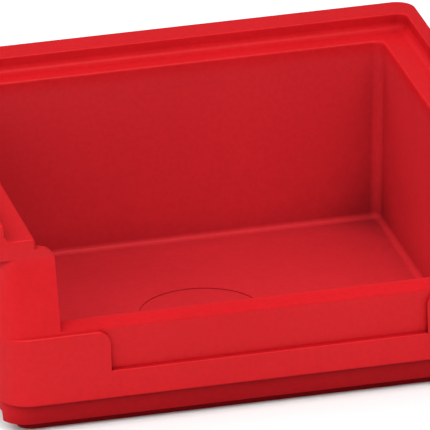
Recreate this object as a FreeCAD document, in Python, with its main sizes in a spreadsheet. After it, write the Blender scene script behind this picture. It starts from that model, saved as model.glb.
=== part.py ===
import FreeCAD, Part
import os
import Sketcher

# Stackable open-front storage bin: one hollow-walled injection moulding, in millimetres.
# X runs to the right, Y to the rear, Z up; the origin is the middle of the footprint.
# The moulding is shaped as a whole and then divided into its regions, one solid each.

DIMENSIONS = {
    # overall size
    "bin_width": 105.0,
    "bin_depth": 96.0,
    "bin_height": 42.0,
    # wall skins and the drafts of the faces, given as run over their height
    "skin": 1.4,
    "floor_skin": 1.3,
    "floor_top": 1.6,
    "outer_taper": 0.6,
    "side_taper": 1.7,
    "rear_taper": 0.9,
    # stacking rim: raised lip outside, sunk ledge inside
    "lip_rise": 3.4,
    "side_lip": 2.75,
    "rear_lip": 6.4,
    "side_ledge": 5.85,
    "rear_ledge": 4.7,
    "rim_setback": 4.7,
    "hook_drop": 9.0,
    # plan radii of the vertical corners
    "rear_corner": 4.0,
    "panel_corner": 6.0,
    "pillar_corner": 5.0,
    "rim_end_corner": 1.0,
    "band_corner": 5.5,
    "cavity_corner": 2.0,
    "floor_round": 1.2,
    # front wall, its label recess and the pillars beside the opening
    "panel_bottom": 6.2,
    "panel_lean": 0.5,
    "pillar_base": 19.9,
    "pillar_base_setback": 1.05,
    "pillar_head": 34.8,
    "opening_width": 80.6,
    "front_lip_front": 20.3,
    "front_lip_rear": 21.7,
    "front_wall": 6.1,
    "jamb_top": 36.5,
    "jamb_corner": 2.4,
    "recess_width": 61.9,
    "recess_bottom": 11.8,
    "recess_setback": 1.3,
    "recess_corner": 2.5,
    # stepped base that nests inside the rim of the bin below
    "band_setback_top": 1.4,
    "band_setback_bottom": 2.6,
    "band_bottom": 1.7,
    "side_step": 0.4,
    "side_base": 3.8,
    "foot_inset": 4.25,
    "foot_front": 4.4,
    "foot_rear": 7.8,
    "foot_corner": 3.0,
    # shallow round mark sunk in the floor, near its middle
    "mark_radius": 12.0,
    "mark_depth": 0.2,
    "mark_x": -2.8,
    "mark_y": -0.7,
    # small edge radii
    "edge_round": 0.4,
    "panel_round": 0.5,
    "strip_round": 0.3,
    "ledge_round": 0.6,
    "rim_fillet": 1.6,
    "lip_rear_round": 1.3,
    "hook_end": 3.0,
    "split_margin": 0.1,
}

doc = FreeCAD.newDocument("storage_bin")


def make_sheet():
    sheet = doc.addObject("Spreadsheet::Sheet", "dims")
    for row, (alias, value) in enumerate(DIMENSIONS.items(), start=1):
        sheet.set(f"A{row}", str(value))
        sheet.setAlias(f"A{row}", alias)
    doc.recompute()
    return sheet


dims = make_sheet()


def named(expression):
    """An expression as a property takes it: $bin_width becomes dims.bin_width."""
    return expression.replace("$", "dims.")


def value(expression):
    """The number that an expression gives now."""
    return float(dims.evalExpression(expression.replace("$", "")))


def origin_plane(body, role):
    return next(item for item in body.Origin.OriginFeatures if item.Role == role)


# ---- named levels and lines, as expressions of the driving dimensions -------------------

FRONT = "(-$bin_depth / 2)"
REAR = "($bin_depth / 2)"
HALF = "($bin_width / 2)"
LEDGE_Z = "($bin_height - $lip_rise)"
LEDGE_UNDER = "($bin_height - $lip_rise - $skin)"
LIP_X = "($bin_width / 2 - $side_lip)"
LIP_Y = "($bin_depth / 2 - $rear_lip)"
CAVITY_X = "($bin_width / 2 - $side_lip - $side_ledge)"
CAVITY_REAR = "($bin_depth / 2 - $rear_lip - $rear_ledge)"
CAVITY_FRONT = "(-$bin_depth / 2 + $front_wall)"
SKIN_REAR = "($bin_depth / 2 - $rear_lip + $skin)"
RIM_END = "(-$bin_depth / 2 + $rim_setback)"
PANEL_TOP_FRONT = "(-$bin_depth / 2 + $panel_lean)"
FAR = "(2 * $bin_width)"

# how near a line counts as lying on a level, and how far an upright edge may lean
TOUCH = 0.03
LEAN_LIMIT = 0.4


# ---- helpers ----------------------------------------------------------------------------

def new_body(name):
    body = doc.addObject("PartDesign::Body", name)
    body.Label = name
    return body


def taper_block(name, low, high):
    """A block whose six faces are flat: low and high are (half width, front, rear, level)."""
    body = new_body(name)
    block = body.newObject("PartDesign::AdditiveWedge", f"{name}_block")
    block.AttachmentSupport = (origin_plane(body, "XZ_Plane"), [""])
    block.MapMode = "FlatFace"
    (low_x, low_front, low_rear, low_z), (high_x, high_front, high_rear, high_z) = low, high
    faces = {
        "Ymin": low_z, "Xmin": f"-{low_x}", "Xmax": low_x,
        "Zmin": f"-{low_rear}", "Zmax": f"-{low_front}",
        "Ymax": high_z, "X2min": f"-{high_x}", "X2max": high_x,
        "Z2min": f"-{high_rear}", "Z2max": f"-{high_front}",
    }
    for prop, expression in faces.items():
        block.setExpression(prop, named(expression))
    doc.recompute()
    return body


def profile_sketch(body, name, plane, points):
    """A closed outline of straight runs, every corner held by the sheet."""
    sketch = body.newObject("Sketcher::SketchObject", name)
    sketch.AttachmentSupport = (origin_plane(body, plane), [""])
    sketch.MapMode = "FlatFace"
    corners = [FreeCAD.Vector(value(px), value(py), 0) for px, py in points]
    count = len(corners)
    for index, corner in enumerate(corners):
        sketch.addGeometry(Part.LineSegment(corner, corners[(index + 1) % count]), False)
    for index in range(count):
        sketch.addConstraint(Sketcher.Constraint("Coincident", index, 2, (index + 1) % count, 1))
    for index, (px, py) in enumerate(points):
        for kind, axis, expression in (("DistanceX", 0, px), ("DistanceY", 1, py)):
            here = Sketcher.Constraint(kind, -1, 1, index, 1, corners[index][axis])
            number = sketch.addConstraint(here)
            sketch.setExpression(f"Constraints[{number}]", named(expression))
    doc.recompute()
    return sketch


def symmetric_pad(body, sketch, name, length):
    pad = body.newObject("PartDesign::Pad", name)
    pad.Profile = sketch
    pad.SideType = "Symmetric"
    pad.setExpression("Length", named(length))
    doc.recompute()
    return pad


def edges_where(shape, wanted):
    return [f"Edge{number}" for number, edge in enumerate(shape.Edges, start=1) if wanted(edge)]


def upright(edge):
    """True for an edge that runs mostly up and down."""
    run = edge.Vertexes[-1].Point - edge.Vertexes[0].Point
    return abs(run.z) > TOUCH and FreeCAD.Vector(run.x, run.y, 0).Length < LEAN_LIMIT * abs(run.z)


def level(edge, height):
    """True for an edge that lies flat at a height."""
    return abs(edge.BoundBox.ZMin - height) < TOUCH and abs(edge.BoundBox.ZMax - height) < TOUCH


def round_edges(body, name, radius, wanted):
    """Round the edges of the body's tip that the test picks."""
    base = body.Tip
    chosen = edges_where(base.Shape, wanted)
    if not chosen:
        raise RuntimeError(f"{name} found no edge")
    fillet = body.newObject("PartDesign::Fillet", name)
    fillet.Base = (base, chosen)
    fillet.setExpression("Radius", named(radius))
    doc.recompute()
    if "Invalid" in fillet.State or "Error" in fillet.State or fillet.Shape.isNull():
        raise RuntimeError(f"{name} failed on {len(chosen)} edges")
    return fillet


def mirrored(side, near, far):
    """The X range from near to far on one side of the middle."""
    return (near, far) if side == "right" else (f"-{far}", f"-{near}")


def fuse(name, *forms):
    result = doc.addObject("Part::MultiFuse", name)
    result.Shapes = forms
    doc.recompute()
    return result


def cut(name, base, tool):
    result = doc.addObject("Part::Cut", name)
    result.Base = base
    result.Tool = tool
    doc.recompute()
    return result


def common(name, base, tool):
    result = doc.addObject("Part::Common", name)
    result.Base = base
    result.Tool = tool
    doc.recompute()
    return result


def box(name, x_range, y_range, z_range):
    """A plain block between named limits."""
    result = doc.addObject("Part::Box", name)
    for axis, side, (low, high) in zip("xyz", ("Length", "Width", "Height"),
                                       (x_range, y_range, z_range)):
        result.setExpression(f"Placement.Base.{axis}", named(low))
        result.setExpression(side, named(f"({high}) - ({low})"))
    doc.recompute()
    return result


# ---- solid forms ------------------------------------------------------------------------

def side_taper(height):
    """How far the outer faces have drawn in at a height, measured from the rim."""
    return f"$outer_taper * ($bin_height - {height}) / $bin_height"


def round_plan_corners(body, name, front_radius, rear_radius):
    round_edges(body, f"{name}_front_corners", front_radius,
                lambda edge: upright(edge) and edge.CenterOfMass.y < 0)
    round_edges(body, f"{name}_rear_corners", rear_radius,
                lambda edge: upright(edge) and edge.CenterOfMass.y > 0)


def tier(name, inset, bottom, top, front_low, front_high, corner):
    """One tier of the body: its sides and rear lie in the body's tapering planes."""
    low, high = side_taper(bottom), side_taper(top)
    body = taper_block(
        name,
        (f"({HALF} - {inset} - {low})", front_low, f"({SKIN_REAR} - {inset} - {low})", bottom),
        (f"({HALF} - {inset} - {high})", front_high, f"({SKIN_REAR} - {inset} - {high})", top))
    round_plan_corners(body, name, f"{corner} - {inset} * {corner} / $panel_corner",
                       f"$rear_corner - {inset}")
    return body


def upper_tiers(name, inset, bottom, top):
    """Label panel tier, leaning pillar tier and upright rim tier, all drawn in by an inset.

    The pillar tier reaches down past the panel's rounded shoulder, so that the sides stay flush.
    """
    panel_top = f"($pillar_base - {inset})"
    head = f"($pillar_head - {inset})"
    foot_front = f"({FRONT} + $pillar_base_setback + {inset})"
    head_front = f"({RIM_END} + {inset})"
    panel = tier(f"{name}_panel_tier", inset, bottom, panel_top, f"({FRONT} + {inset})",
                 f"({PANEL_TOP_FRONT} + {inset})", "$panel_corner")
    pillar = tier(f"{name}_pillar_tier", inset, f"({panel_top} - 2 * $panel_round)", head,
                  foot_front, head_front, "$pillar_corner")
    rim = tier(f"{name}_rim_tier", inset, head, top, head_front, head_front, "$rim_end_corner")
    if inset == "0":
        round_edges(panel, "panel_shoulder", "$panel_round",
                    lambda edge: level(edge, value(panel_top))
                    and edge.CenterOfMass.y < value(RIM_END))
    return panel, pillar, rim


def lower_form(name, inset, bottom, top):
    """The band below the label panel and the sides, stepped in from the body above."""
    width = f"({HALF} - $outer_taper - $side_step - {inset})"
    rear = f"({SKIN_REAR} - $outer_taper - $side_step - {inset})"
    body = taper_block(
        name,
        (width, f"({FRONT} + $band_setback_bottom + {inset})", rear, bottom),
        (width, f"({FRONT} + $band_setback_top + {inset})", rear, top))
    round_plan_corners(body, name, f"$band_corner - {inset}",
                       f"$rear_corner - $side_step - {inset}")
    return body


def foot_form(name, inset, bottom, top):
    """The ring that the bin stands on, which drops inside the rim of the bin below."""
    width = f"({HALF} - $foot_inset - {inset})"
    front = f"({FRONT} + $foot_front + {inset})"
    rear = f"({REAR} - $foot_rear - {inset})"
    body = taper_block(name, (width, front, rear, bottom), (width, front, rear, top))
    corner = f"$foot_corner - {inset}"
    round_plan_corners(body, name, corner, corner)
    return body


def rear_rim_form():
    """The wider rear rim, whose outer edge turns down into a hook."""
    bottom = "($bin_height - $hook_drop)"
    low = f"({HALF} - {side_taper(bottom)})"
    start = f"({CAVITY_REAR} + $cavity_corner)"
    body = taper_block("rear_rim_form", (low, start, REAR, bottom),
                       (HALF, start, REAR, "$bin_height"))
    round_edges(body, "rear_rim_form_corners", "$rear_corner",
                lambda edge: upright(edge) and edge.CenterOfMass.y > value(LIP_Y))
    return body


def tub_form(name, outset, bottom):
    """The room inside the bin up to the ledge, or that room plus a skin around it."""
    front = f"({CAVITY_FRONT} - {outset})"
    low = (f"({CAVITY_X} + {outset} - $side_taper)", front,
           f"({CAVITY_REAR} + {outset} - $rear_taper)", bottom)
    high = (f"({CAVITY_X} + {outset})", front, f"({CAVITY_REAR} + {outset})", LEDGE_Z)
    body = taper_block(name, low, high)
    corner = f"$cavity_corner + {outset}"
    round_plan_corners(body, name, corner, corner)
    if outset == "0":
        round_edges(body, f"{name}_floor_round", "$floor_round",
                    lambda edge: level(edge, value(bottom)))
    return body


def ledge_form():
    """The air above the ledge, inside the raised lip and open to the front."""
    outside = f"({FRONT} - $skin)"
    body = taper_block("ledge_form", (LIP_X, outside, LIP_Y, LEDGE_Z),
                       (LIP_X, outside, LIP_Y, "($bin_height + $skin)"))
    round_edges(body, "ledge_form_corners", "$cavity_corner",
                lambda edge: upright(edge) and edge.CenterOfMass.y > 0)
    return body


def front_wall_top():
    """The top of the low front wall: a slope that falls to the front, rounded at the rear."""
    body = new_body("front_wall_top")
    lip_front = f"{FRONT} + $pillar_base_setback"
    under = "$pillar_base - $skin"
    outline = [(lip_front, under), (lip_front, "$front_lip_front"),
               (CAVITY_FRONT, "$front_lip_rear"), (CAVITY_FRONT, under)]
    sketch = profile_sketch(body, "front_wall_side_view", "YZ_Plane", outline)
    symmetric_pad(body, sketch, "front_wall_bar", "$opening_width")
    round_edges(body, "front_wall_rear_edge", "$lip_rear_round",
                lambda edge: level(edge, value("$front_lip_rear")))
    round_edges(body, "front_wall_front_edge", "$edge_round",
                lambda edge: level(edge, value("$front_lip_front")))
    return body


def opening_form():
    """The air between the pillars, above the top of the front wall."""
    across = ("(-$opening_width / 2)", "($opening_width / 2)")
    block = box("opening_block", across, (FRONT, CAVITY_FRONT), ("$pillar_base", FAR))
    return cut("opening_air", block, front_wall_top())


def recess_form():
    """The air in the label recess, whose upper corners flare out round the end blocks."""
    back = (f"({FRONT} - $skin)", f"({FRONT} + $recess_setback)")
    edge_x = "($recess_width / 2)"
    pieces = [box("recess_air", (f"-{edge_x}", edge_x), back, ("$recess_bottom", "$front_lip_front"))]
    for side in ("left", "right"):
        sign = "" if side == "right" else "-"
        reach = mirrored(side, edge_x, f"({edge_x} + $recess_corner)")
        corner = box(f"{side}_corner_block", reach, back,
                     ("($pillar_base - $recess_corner)", "($pillar_base + $skin)"))
        bead = doc.addObject("Part::Cylinder", f"{side}_corner_bead")
        bead.setExpression("Radius", named("$recess_corner"))
        bead.setExpression("Height", named("2 * $bin_depth"))
        bead.Placement.Rotation = FreeCAD.Rotation(FreeCAD.Vector(1, 0, 0), 90)
        bead.setExpression("Placement.Base.x", named(f"{sign}({edge_x} + $recess_corner)"))
        bead.setExpression("Placement.Base.y", named("$bin_depth"))
        bead.setExpression("Placement.Base.z", named("$pillar_base - $recess_corner"))
        pieces.append(cut(f"{side}_corner_air", corner, bead))
    return fuse("recess_form", *pieces)


def mark_form():
    """The air in the shallow round mark, from its sunk face up."""
    disc = doc.addObject("Part::Cylinder", "mark_air")
    disc.setExpression("Radius", named("$mark_radius"))
    disc.setExpression("Height", named("$mark_depth + $skin"))
    disc.setExpression("Placement.Base.x", named("$mark_x"))
    disc.setExpression("Placement.Base.y", named("$mark_y"))
    disc.setExpression("Placement.Base.z", named("$floor_top - $mark_depth"))
    doc.recompute()
    return disc


def jamb_air_form():
    """The air above the jambs, flush with the side faces of the room inside."""
    narrowed = f"$side_taper * ({LEDGE_Z} - $jamb_top) / ({LEDGE_Z} - $floor_top)"
    outside, back = f"({FRONT} - $skin)", f"({CAVITY_FRONT} + $cavity_corner)"
    return taper_block("jamb_air", (f"({CAVITY_X} - {narrowed})", outside, back, "$jamb_top"),
                       (CAVITY_X, outside, back, LEDGE_Z))


def beside(number, target, reach):
    return abs(number - target) < reach


def around_room(edge):
    """True for the inner edge of the ledge, corners included."""
    middle = edge.CenterOfMass
    reach = value("$cavity_corner") / 2
    return (level(edge, value(LEDGE_Z))
            and abs(middle.x) < value(CAVITY_X) + TOUCH and middle.y < value(CAVITY_REAR) + TOUCH
            and (beside(abs(middle.x), value(CAVITY_X), reach)
                 or beside(middle.y, value(CAVITY_REAR), reach)))


def under_lip(edge):
    """True for the corner line where the ledge meets the raised lip."""
    middle = edge.CenterOfMass
    reach = value("$cavity_corner") / 2
    return (level(edge, value(LEDGE_Z)) and not around_room(edge)
            and (beside(abs(middle.x), value(LIP_X), reach)
                 or beside(middle.y, value(LIP_Y), reach)))


def make_moulding():
    upper = upper_tiers("body", "0", "$panel_bottom", "$bin_height")
    lower = lower_form("lower_form", "0", "$band_bottom", "$panel_bottom")
    foot = foot_form("foot_form", "0", "0", "$panel_bottom")
    cavity = tub_form("cavity_form", "0", "$floor_top")
    tub = tub_form("tub_form", "$skin", "($floor_top - $floor_skin)")
    under_sides = box("side_base_air", (f"-{HALF}", HALF), (CAVITY_FRONT, REAR),
                      ("0", "$side_base"))
    raised = cut("raised_lower_form", lower, under_sides)
    outside = fuse("outside", *upper, raised, foot, rear_rim_form())

    deep = f"-{FAR}"
    void = fuse("void_envelope",
        *upper_tiers("void", "$skin", "($panel_bottom + $skin)", LEDGE_UNDER),
        lower_form("lower_void", "$skin", "($side_base + $skin)", "($panel_bottom + 2 * $skin)"),
        foot_form("foot_void", "$skin", "(-$skin)", "($side_base + 2 * $skin)"))
    jamb_skin = box("jamb_skin", ("(-$opening_width / 2 - $skin)", "($opening_width / 2 + $skin)"),
                    (deep, "0"), ("($front_lip_front - $skin)", FAR))
    recess_skin = box("recess_skin", ("(-$recess_width / 2 - $skin)", "($recess_width / 2 + $skin)"),
                      (deep, f"({FRONT} + $recess_setback + $skin)"),
                      ("($recess_bottom - $skin)", FAR))
    kept = fuse("skins_inside_void", tub, jamb_skin, recess_skin)
    void = cut("void_between_skins", void, kept)

    hook_air = box("hook_air", ("(-$bin_width / 2 + $hook_end)", "($bin_width / 2 - $hook_end)"),
                   (SKIN_REAR, f"({REAR} - $skin)"), ("0", "($bin_height - $skin)"))
    air = fuse("air", cavity, ledge_form(), opening_form(), void, hook_air, jamb_air_form(),
               recess_form(), mark_form())
    solid = cut("outside_less_air", outside, air)
    body = new_body("moulding")
    body.BaseFeature = solid
    doc.recompute()
    return body


def soften_edges(body):
    """Round the edges that a hand or another bin meets."""
    round_edges(body, "lip_root", "$rim_fillet", under_lip)
    round_edges(body, "ledge_front_ends", "$edge_round",
                lambda edge: level(edge, value(LEDGE_Z))
                and beside(edge.CenterOfMass.y, value(RIM_END), TOUCH))
    round_edges(body, "jamb_corners", "$jamb_corner",
                lambda edge: level(edge, value("$jamb_top"))
                and beside(abs(edge.CenterOfMass.x), value("$opening_width") / 2, TOUCH))
    round_edges(body, "ledge_inner_edge", "$ledge_round", around_room)
    round_edges(body, "rim_top_edges", "$edge_round",
                lambda edge: level(edge, value("$bin_height")))
    round_edges(body, "panel_lower_edge", "$edge_round",
                lambda edge: level(edge, value("$panel_bottom"))
                and edge.CenterOfMass.y < value(PANEL_TOP_FRONT))
    round_edges(body, "strip_edge", "$strip_round",
                lambda edge: level(edge, value("$recess_bottom"))
                and edge.CenterOfMass.y < value(PANEL_TOP_FRONT))


moulding = make_moulding()
soften_edges(moulding)


# ---- the regions of the moulding, one solid each ----------------------------------------

SKIN_SPLIT = f"({CAVITY_X} + $skin + 2 * $split_margin)"
REAR_SPLIT = f"({REAR} - $foot_rear - $skin - $split_margin)"
FRONT_SPLIT = f"({FRONT} + $foot_front - $split_margin)"
JAMB_BACK = f"({CAVITY_FRONT} + $cavity_corner)"
FLOOR_X = f"({CAVITY_X} - $side_taper - $floor_round - $split_margin)"
FLOOR_REAR = f"({CAVITY_REAR} - $rear_taper - $floor_round - $split_margin)"
LIP_SPLIT_X = f"({LIP_X} - $rim_fillet - $split_margin)"
LIP_SPLIT_Y = f"({LIP_Y} - $rim_fillet - $split_margin)"
FLOOR_CORNER = (FLOOR_X, FLOOR_REAR)
SKIN_CORNER = (SKIN_SPLIT, REAR_SPLIT)
LIP_CORNER = (LIP_SPLIT_X, LIP_SPLIT_Y)
HOOK_X = f"({HALF} - $hook_end)"
HOOK_BOTTOM = "($bin_height - $hook_drop)"
RIM_UNDER = "($bin_height - $skin)"
RECESS_SIDE = "($recess_width / 2 - $split_margin)"
RECESS_FOOT = "($recess_bottom + $split_margin)"


def plan_prism(name, points, low, high):
    """An upright prism over an outline in plan."""
    body = new_body(name)
    sketch = profile_sketch(body, f"{name}_plan", "XY_Plane", points)
    sketch.setExpression("AttachmentOffset.Base.z", named(low))
    pad = body.newObject("PartDesign::Pad", f"{name}_prism")
    pad.Profile = sketch
    pad.setExpression("Length", named(f"({high}) - ({low})"))
    doc.recompute()
    return body


def side_sector(name, side, front, inner, outer, low, high):
    """A strip beside the room, mitred at the rear from its inner to its outer corner."""
    sign = "" if side == "right" else "-"
    (inner_x, inner_y), (outer_x, outer_y) = inner, outer
    points = [(f"{sign}{inner_x}", front), (f"{sign}{outer_x}", front),
              (f"{sign}{outer_x}", outer_y), (f"{sign}{inner_x}", inner_y)]
    return plan_prism(name, points, low, high)


def rear_sector(name, inner, outer, low, high):
    """A strip behind the room, mitred at both ends from its inner to its outer corners."""
    (inner_x, inner_y), (outer_x, outer_y) = inner, outer
    points = [(f"-{inner_x}", inner_y), (inner_x, inner_y),
              (outer_x, outer_y), (f"-{outer_x}", outer_y)]
    return plan_prism(name, points, low, high)


parts = []


def add_part(name, zone):
    """The share of the moulding inside one zone as a part of its own."""
    zone.Label = f"{name}_region"
    piece = common(name, moulding, zone)
    piece.Label = name
    parts.append(piece)


def region(name, x_range, y_range, z_range):
    add_part(name, box(f"{name}_region", x_range, y_range, z_range))


def make_floor_and_rear():
    region("floor_panel", (f"-{FLOOR_X}", FLOOR_X), (JAMB_BACK, FLOOR_REAR), ("0", "$side_base"))
    add_part("rear_inner_wall",
             rear_sector("rear_inner_sector", FLOOR_CORNER, SKIN_CORNER, "0", LEDGE_UNDER))
    region("rear_outer_wall", (f"-{FAR}", FAR), (REAR_SPLIT, SKIN_REAR),
           ("$panel_bottom", LEDGE_UNDER))
    region("rear_base_step", (f"-{FAR}", FAR), (REAR_SPLIT, SKIN_REAR),
           ("$side_base", "$panel_bottom"))
    region("rear_foot", (f"-{FAR}", FAR), (REAR_SPLIT, SKIN_REAR), ("0", "$side_base"))
    add_part("rear_ledge",
             rear_sector("rear_ledge_sector", FLOOR_CORNER, LIP_CORNER, LEDGE_UNDER, FAR))
    region("rear_lip", (f"-{LIP_SPLIT_X}", LIP_SPLIT_X), (LIP_SPLIT_Y, SKIN_REAR),
           (LEDGE_UNDER, FAR))
    region("rear_rim_top", (f"-{FAR}", FAR), (SKIN_REAR, FAR), (RIM_UNDER, FAR))
    region("rear_hook", (f"-{HOOK_X}", HOOK_X), (SKIN_REAR, FAR), (HOOK_BOTTOM, RIM_UNDER))


def make_side(side):
    add_part(f"{side}_inner_wall",
             side_sector(f"{side}_inner_sector", side, JAMB_BACK, FLOOR_CORNER, SKIN_CORNER,
                         "0", LEDGE_UNDER))
    add_part(f"{side}_ledge",
             side_sector(f"{side}_ledge_sector", side, FRONT, FLOOR_CORNER, LIP_CORNER,
                         LEDGE_UNDER, FAR))
    outer = mirrored(side, SKIN_SPLIT, FAR)
    region(f"{side}_outer_wall", outer, (JAMB_BACK, REAR_SPLIT), ("$panel_bottom", LEDGE_UNDER))
    region(f"{side}_base_step", outer, (FRONT_SPLIT, REAR_SPLIT), ("$side_base", "$panel_bottom"))
    region(f"{side}_foot", outer, (FRONT_SPLIT, REAR_SPLIT), ("0", "$side_base"))
    region(f"{side}_hook_end", mirrored(side, HOOK_X, FAR), (SKIN_REAR, FAR),
           (HOOK_BOTTOM, RIM_UNDER))
    region(f"{side}_lip", mirrored(side, LIP_SPLIT_X, FAR), (FRONT, SKIN_REAR),
           (LEDGE_UNDER, FAR))
    region(f"{side}_pillar", mirrored(side, "$opening_width / 2", FAR), (FRONT, JAMB_BACK),
           ("$pillar_base", LEDGE_UNDER))


def label_block_sector(name, side):
    """The end block of the label panel with the corner that it wraps."""
    sign = "" if side == "right" else "-"
    points = [
        (f"{sign}{RECESS_SIDE}", FRONT), (f"{sign}{FAR}", FRONT),
        (f"{sign}{FAR}", JAMB_BACK), (f"{sign}{SKIN_SPLIT}", JAMB_BACK),
        (f"{sign}{SKIN_SPLIT}", FRONT_SPLIT), (f"{sign}{RECESS_SIDE}", FRONT_SPLIT),
    ]
    return plan_prism(name, points, "$panel_bottom", "$pillar_base")


def make_front():
    inside = (f"-{SKIN_SPLIT}", SKIN_SPLIT)
    region("front_foot", inside, (FRONT_SPLIT, JAMB_BACK), ("0", "$side_base"))
    region("front_inner_wall", inside, (FRONT_SPLIT, JAMB_BACK), ("$side_base", "$pillar_base"))
    region("front_base_band", (f"-{FAR}", FAR), (FRONT, FRONT_SPLIT), ("0", "$panel_bottom"))
    label = (f"-{RECESS_SIDE}", RECESS_SIDE)
    region("label_strip", label, (FRONT, FRONT_SPLIT), ("$panel_bottom", RECESS_FOOT))
    region("label_recess_panel", label, (FRONT, FRONT_SPLIT), (RECESS_FOOT, "$pillar_base"))
    for side in ("left", "right"):
        add_part(f"{side}_label_block", label_block_sector(f"{side}_label_sector", side))
    region("front_lip", ("(-$opening_width / 2)", "($opening_width / 2)"), (FRONT, JAMB_BACK),
           ("$pillar_base", FAR))


def check_document():
    for item in doc.Objects:
        if "Invalid" in item.State or "Error" in item.State:
            raise RuntimeError(f"{item.Name} is {item.State}")
    for piece in parts:
        if piece.Shape.isNull() or not piece.Shape.isValid() or len(piece.Shape.Solids) != 1:
            raise RuntimeError(f"{piece.Label} is not one sound solid")


def write_parts():
    os.makedirs("parts", exist_ok=True)
    for piece in parts:
        piece.Shape.exportStep(f"parts/{piece.Label}.step")
        print(f"{piece.Label}: {piece.Shape.Volume:.0f} mm3")


make_floor_and_rear()
make_side("left")
make_side("right")
make_front()
doc.recompute()
check_document()
write_parts()
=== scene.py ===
"""Stackable storage bin in red polypropylene: material, light, floor and camera."""

import math

import bpy
from mathutils import Matrix, Vector


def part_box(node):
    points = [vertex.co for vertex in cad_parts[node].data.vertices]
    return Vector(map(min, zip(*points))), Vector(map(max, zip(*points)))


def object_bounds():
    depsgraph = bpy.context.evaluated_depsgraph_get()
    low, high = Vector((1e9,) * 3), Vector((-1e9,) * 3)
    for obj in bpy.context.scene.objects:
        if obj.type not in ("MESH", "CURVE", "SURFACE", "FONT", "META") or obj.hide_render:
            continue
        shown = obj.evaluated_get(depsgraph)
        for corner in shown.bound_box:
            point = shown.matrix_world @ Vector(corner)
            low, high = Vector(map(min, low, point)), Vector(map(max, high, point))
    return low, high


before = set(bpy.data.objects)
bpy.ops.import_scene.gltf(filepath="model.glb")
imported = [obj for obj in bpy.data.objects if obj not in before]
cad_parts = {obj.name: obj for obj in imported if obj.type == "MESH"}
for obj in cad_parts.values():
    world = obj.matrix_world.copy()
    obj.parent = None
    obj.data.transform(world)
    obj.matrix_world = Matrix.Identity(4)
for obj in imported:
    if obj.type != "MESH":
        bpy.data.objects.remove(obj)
cad_low, cad_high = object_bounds()

# a long lens, a little left of the front and above; lengths in metres, the lens in millimetres
CAMERA_AZIMUTH = math.radians(-12.75)
CAMERA_ELEVATION = math.radians(22.313)
CAMERA_ROLL = math.radians(1.737)
CAMERA_DISTANCE = 2.220
CAMERA_LENS = 961.88
SENSOR_WIDTH = 36.0

# the point that camera and lamps turn to, and how far the picture's middle lies off it
LOOK_POINT = Vector((0.0, -0.003, 0.020))
FRAME_RISE = 0.002214
FRAME_SIDE = 0.000056

FLOOR_REACH = 3.0
LAMP_DISTANCE = 1.2
SOFT_SIZE = 0.9
SMALL_SIZE = 0.15


def link(obj):
    bpy.context.scene.collection.objects.link(obj)
    return obj


def bearing(azimuth, elevation):
    """The unit vector that points to an azimuth, taken from the front, and an elevation."""
    return Vector((math.sin(azimuth) * math.cos(elevation),
                   -math.cos(azimuth) * math.cos(elevation), math.sin(elevation)))


# ---------------------------------------------------------------- material

FLOW_LOW, FLOW_HIGH = (0.520, 0.0190, 0.0262, 1), (0.560, 0.0212, 0.0290, 1)
SPECK = (0.94, 0.90, 0.90, 1)
# painted shade colours: a greyed dark red mixed in where the surface is hemmed in by nearby surfaces
CORNER_SHADE_TINT = (0.56, 0.62, 0.64, 1)
DEEP_SHADE = (0.56, 0.68, 0.68, 1)
# painted shade tint: the outside is multiplied to a clearer red than the shaded inside
OUTSIDE_TONE = (1, 0.46, 0.50, 1)
CLEAN = (1, 1, 1, 1)

# how far the painted shade in corners and the wider painted shade look for nearby surfaces
CORNER_SHADE_REACH = 0.014
SHADE_REACH = 0.06
# where the painted shade tint of the inside begins, and how fast it fades in
SHADE_TINT_FADE = 0.003
SHADE_TINT_MARGIN = 0.001

front_wall_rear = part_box("front_inner_wall")[1].y
wall_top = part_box("rear_inner_wall")[1].z


class ShaderTree:
    """A material's nodes, with short ways to add and join the kinds used here."""

    def __init__(self, material):
        material.use_nodes = True
        self.nodes, self.links = material.node_tree.nodes, material.node_tree.links
        self.nodes.clear()
        self.coordinates = self.node("ShaderNodeTexCoord").outputs["Object"]

    def node(self, kind, **settings):
        made = self.nodes.new(kind)
        for key, value in settings.items():
            setattr(made, key, value)
        return made

    def noise(self, scale, detail, roughness=0.5, vector=None):
        made = self.node("ShaderNodeTexNoise")
        made.inputs["Scale"].default_value = scale
        made.inputs["Detail"].default_value = detail
        made.inputs["Roughness"].default_value = roughness
        self.links.new(vector or self.coordinates, made.inputs["Vector"])
        return made.outputs["Fac"]

    def ramp(self, value, low, low_colour, high, high_colour):
        made = self.node("ShaderNodeValToRGB")
        start, end = made.color_ramp.elements
        start.position, start.color = low, low_colour
        end.position, end.color = high, high_colour
        self.links.new(value, made.inputs["Fac"])
        return made.outputs["Color"]

    def spread(self, value, low, high, to_low=0.0, to_high=1.0):
        made = self.node("ShaderNodeMapRange")
        made.inputs["From Min"].default_value = low
        made.inputs["From Max"].default_value = high
        made.inputs["To Min"].default_value = to_low
        made.inputs["To Max"].default_value = to_high
        self.links.new(value, made.inputs["Value"])
        return made.outputs["Result"]

    def multiplied(self, first, second):
        made = self.node("ShaderNodeMix", data_type="RGBA", blend_type="MULTIPLY")
        made.inputs["Factor"].default_value = 1.0
        self.links.new(first, made.inputs["A"])
        self.links.new(second, made.inputs["B"])
        return made.outputs["Result"]

    def openness(self, reach):
        """How much of the space within reach of a point is free: 1 in the open."""
        made = self.node("ShaderNodeAmbientOcclusion", samples=8)
        made.inputs["Distance"].default_value = reach
        return made.outputs["AO"]

    def bump(self, height, distance, normal=None):
        made = self.node("ShaderNodeBump")
        made.inputs["Strength"].default_value = 0.25
        made.inputs["Distance"].default_value = distance
        self.links.new(height, made.inputs["Height"])
        if normal:
            self.links.new(normal, made.inputs["Normal"])
        return made.outputs["Normal"]


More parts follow.
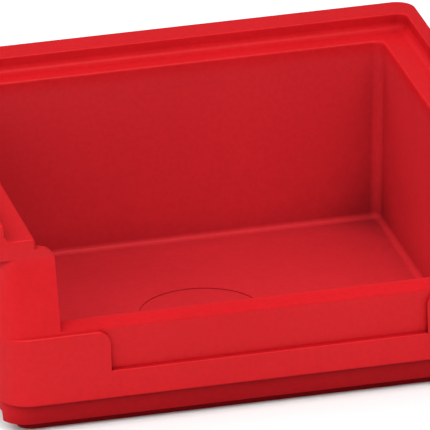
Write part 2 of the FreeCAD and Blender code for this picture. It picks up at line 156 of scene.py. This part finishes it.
def plastic_colour(tree):
    """Red with flow streaks and pigment specks, painted shade in the corners and hollows, and a
    painted greyer tint for the shaded inside.
    """
    stretched = tree.node("ShaderNodeMapping")
    stretched.inputs["Scale"].default_value = (1.0, 1.0, 0.25)
    tree.links.new(tree.coordinates, stretched.inputs["Vector"])
    flow = tree.noise(28.0, 3.0, 0.55, stretched.outputs["Vector"])
    red = tree.ramp(flow, 0.30, FLOW_LOW, 0.70, FLOW_HIGH)
    speck = tree.ramp(tree.noise(900.0, 2.0), 0.35, SPECK, 0.60, CLEAN)
    # painted shade: darker, greyer red in corners, creases, recesses and under overhangs, within 14
    # mm
    corner_shade = tree.ramp(tree.openness(CORNER_SHADE_REACH), 0.32, CORNER_SHADE_TINT, 0.66, CLEAN)
    shade = tree.ramp(tree.openness(SHADE_REACH), 0.14, DEEP_SHADE, 0.42, CLEAN)

    # painted shade tint: the inside of the bin, behind the front wall and below the ledge, keeps a
    # greyer red, while the lit outside gets a clearer red
    place = tree.node("ShaderNodeSeparateXYZ")
    tree.links.new(tree.coordinates, place.inputs["Vector"])
    full_y, start_z = front_wall_rear - SHADE_TINT_MARGIN, wall_top + SHADE_TINT_MARGIN
    behind = tree.spread(place.outputs["Y"], full_y - SHADE_TINT_FADE, full_y)
    below = tree.spread(place.outputs["Z"], start_z, start_z - SHADE_TINT_FADE)
    inside = tree.node("ShaderNodeMath", operation="MULTIPLY")
    tree.links.new(behind, inside.inputs[0])
    tree.links.new(below, inside.inputs[1])
    inside_shade_tint = tree.ramp(inside.outputs["Value"], 0.0, OUTSIDE_TONE, 1.0, CLEAN)

    toned = tree.multiplied(tree.multiplied(red, speck), inside_shade_tint)
    return tree.multiplied(toned, tree.multiplied(corner_shade, shade))


def moulded_plastic(name):
    """Satin injection-moulded polypropylene with a fine grain and handling marks."""
    material = bpy.data.materials.new(name)
    tree = ShaderTree(material)
    surface = tree.node("ShaderNodeBsdfPrincipled")
    # painted shade on reflections: the specular strength falls where the surface is hemmed in, in
    # corners and hollows
    sheen_dimmed_in_hollows = tree.spread(tree.openness(CORNER_SHADE_REACH), 0.60, 0.90, 0.05, 0.38)
    tree.links.new(sheen_dimmed_in_hollows, surface.inputs["Specular IOR Level"])
    surface.inputs["Specular Tint"].default_value = (1.0, 0.45, 0.45, 1)
    surface.inputs["IOR"].default_value = 1.49
    tree.links.new(plastic_colour(tree), surface.inputs["Base Color"])

    handling = tree.noise(60.0, 4.0, 0.65)
    tree.links.new(tree.spread(handling, 0.3, 0.7, 0.30, 0.38), surface.inputs["Roughness"])

    uneven = tree.bump(tree.noise(45.0, 1.0), 0.00012)
    grained = tree.bump(tree.noise(3200.0, 2.0, 0.6), 0.00001, uneven)
    tree.links.new(grained, surface.inputs["Normal"])

    output = tree.node("ShaderNodeOutputMaterial")
    tree.links.new(surface.outputs["BSDF"], output.inputs["Surface"])
    return material


plastic = moulded_plastic("red_polypropylene")
for cad_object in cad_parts.values():
    for material_slot in cad_object.material_slots:
        material_slot.material = plastic


# ------------------------------------------------------------ floor, light

def pale_floor():
    """A wide sheet that the bin stands on, in a plain near-white."""
    mesh = bpy.data.meshes.new("studio_floor")
    corners = [(FLOOR_REACH * x, FLOOR_REACH * y, 0) for x, y in ((-1, -1), (1, -1), (1, 1), (-1, 1))]
    mesh.from_pydata(corners, [], [(0, 1, 2, 3)])
    material = bpy.data.materials.new("studio_floor")
    material.use_nodes = True
    shader = material.node_tree.nodes["Principled BSDF"]
    shader.inputs["Base Color"].default_value = (0.9, 0.9, 0.9, 1)
    shader.inputs["Roughness"].default_value = 0.8
    shader.inputs["Specular IOR Level"].default_value = 0.0
    mesh.materials.append(material)
    floor = link(bpy.data.objects.new("studio_floor", mesh))
    floor.location.z = cad_low.z
    floor.visible_glossy = False


def lamp_at(name, azimuth, elevation, size, power, glossy=False):
    """A square lamp that looks at the bin; a glossy one also shows as highlights."""
    lamp = bpy.data.lights.new(name, "AREA")
    lamp.size = size
    lamp.energy = power
    away = bearing(math.radians(azimuth), math.radians(elevation))
    holder = link(bpy.data.objects.new(name, lamp))
    holder.visible_glossy = glossy
    holder.location = LOOK_POINT + away * LAMP_DISTANCE
    holder.rotation_euler = (-away).to_track_quat("-Z", "Y").to_euler()


def studio_surround():
    """A dim even room, so that the lamps do nearly all the lighting."""
    world = bpy.data.worlds.new("studio_surround")
    world.use_nodes = True
    background = world.node_tree.nodes["Background"]
    background.inputs["Color"].default_value = (1, 1, 1, 1)
    background.inputs["Strength"].default_value = 0.09
    bpy.context.scene.world = world


pale_floor()
studio_surround()
lamp_at("front_key_light", 15, 60, SOFT_SIZE, 6.8)
lamp_at("edge_light", 0, 62, SMALL_SIZE, 3.4, glossy=True)
lamp_at("left_rear_light", -150, 45, SOFT_SIZE, 9.2)
lamp_at("left_side_light", -75, 35, SOFT_SIZE, 5.2)
lamp_at("right_fill_light", 45, 35, SOFT_SIZE, 2.6)
lamp_at("left_fill_light", -45, 35, SOFT_SIZE, 4.8)
bpy.context.scene.view_settings.view_transform = "Standard"


# ------------------------------------------------------------------ camera

def make_camera():
    away = bearing(CAMERA_AZIMUTH, CAMERA_ELEVATION)
    level_right = Vector((math.cos(CAMERA_AZIMUTH), math.sin(CAMERA_AZIMUTH), 0))
    level_up = away.cross(level_right)
    right = level_right * math.cos(CAMERA_ROLL) - level_up * math.sin(CAMERA_ROLL)
    up = level_right * math.sin(CAMERA_ROLL) + level_up * math.cos(CAMERA_ROLL)
    place = LOOK_POINT + away * CAMERA_DISTANCE
    aim = LOOK_POINT + up * FRAME_RISE + right * FRAME_SIDE
    back = (place - aim).normalized()
    side = up.cross(back).normalized()
    turned = Matrix((side, back.cross(side), back)).transposed()
    data = bpy.data.cameras.new("camera")
    data.lens = CAMERA_LENS
    data.sensor_width = SENSOR_WIDTH
    data.clip_start = 0.1
    data.clip_end = 20
    camera = link(bpy.data.objects.new("camera", data))
    camera.matrix_world = Matrix.Translation(place) @ turned.to_4x4()
    bpy.context.scene.camera = camera


make_camera()
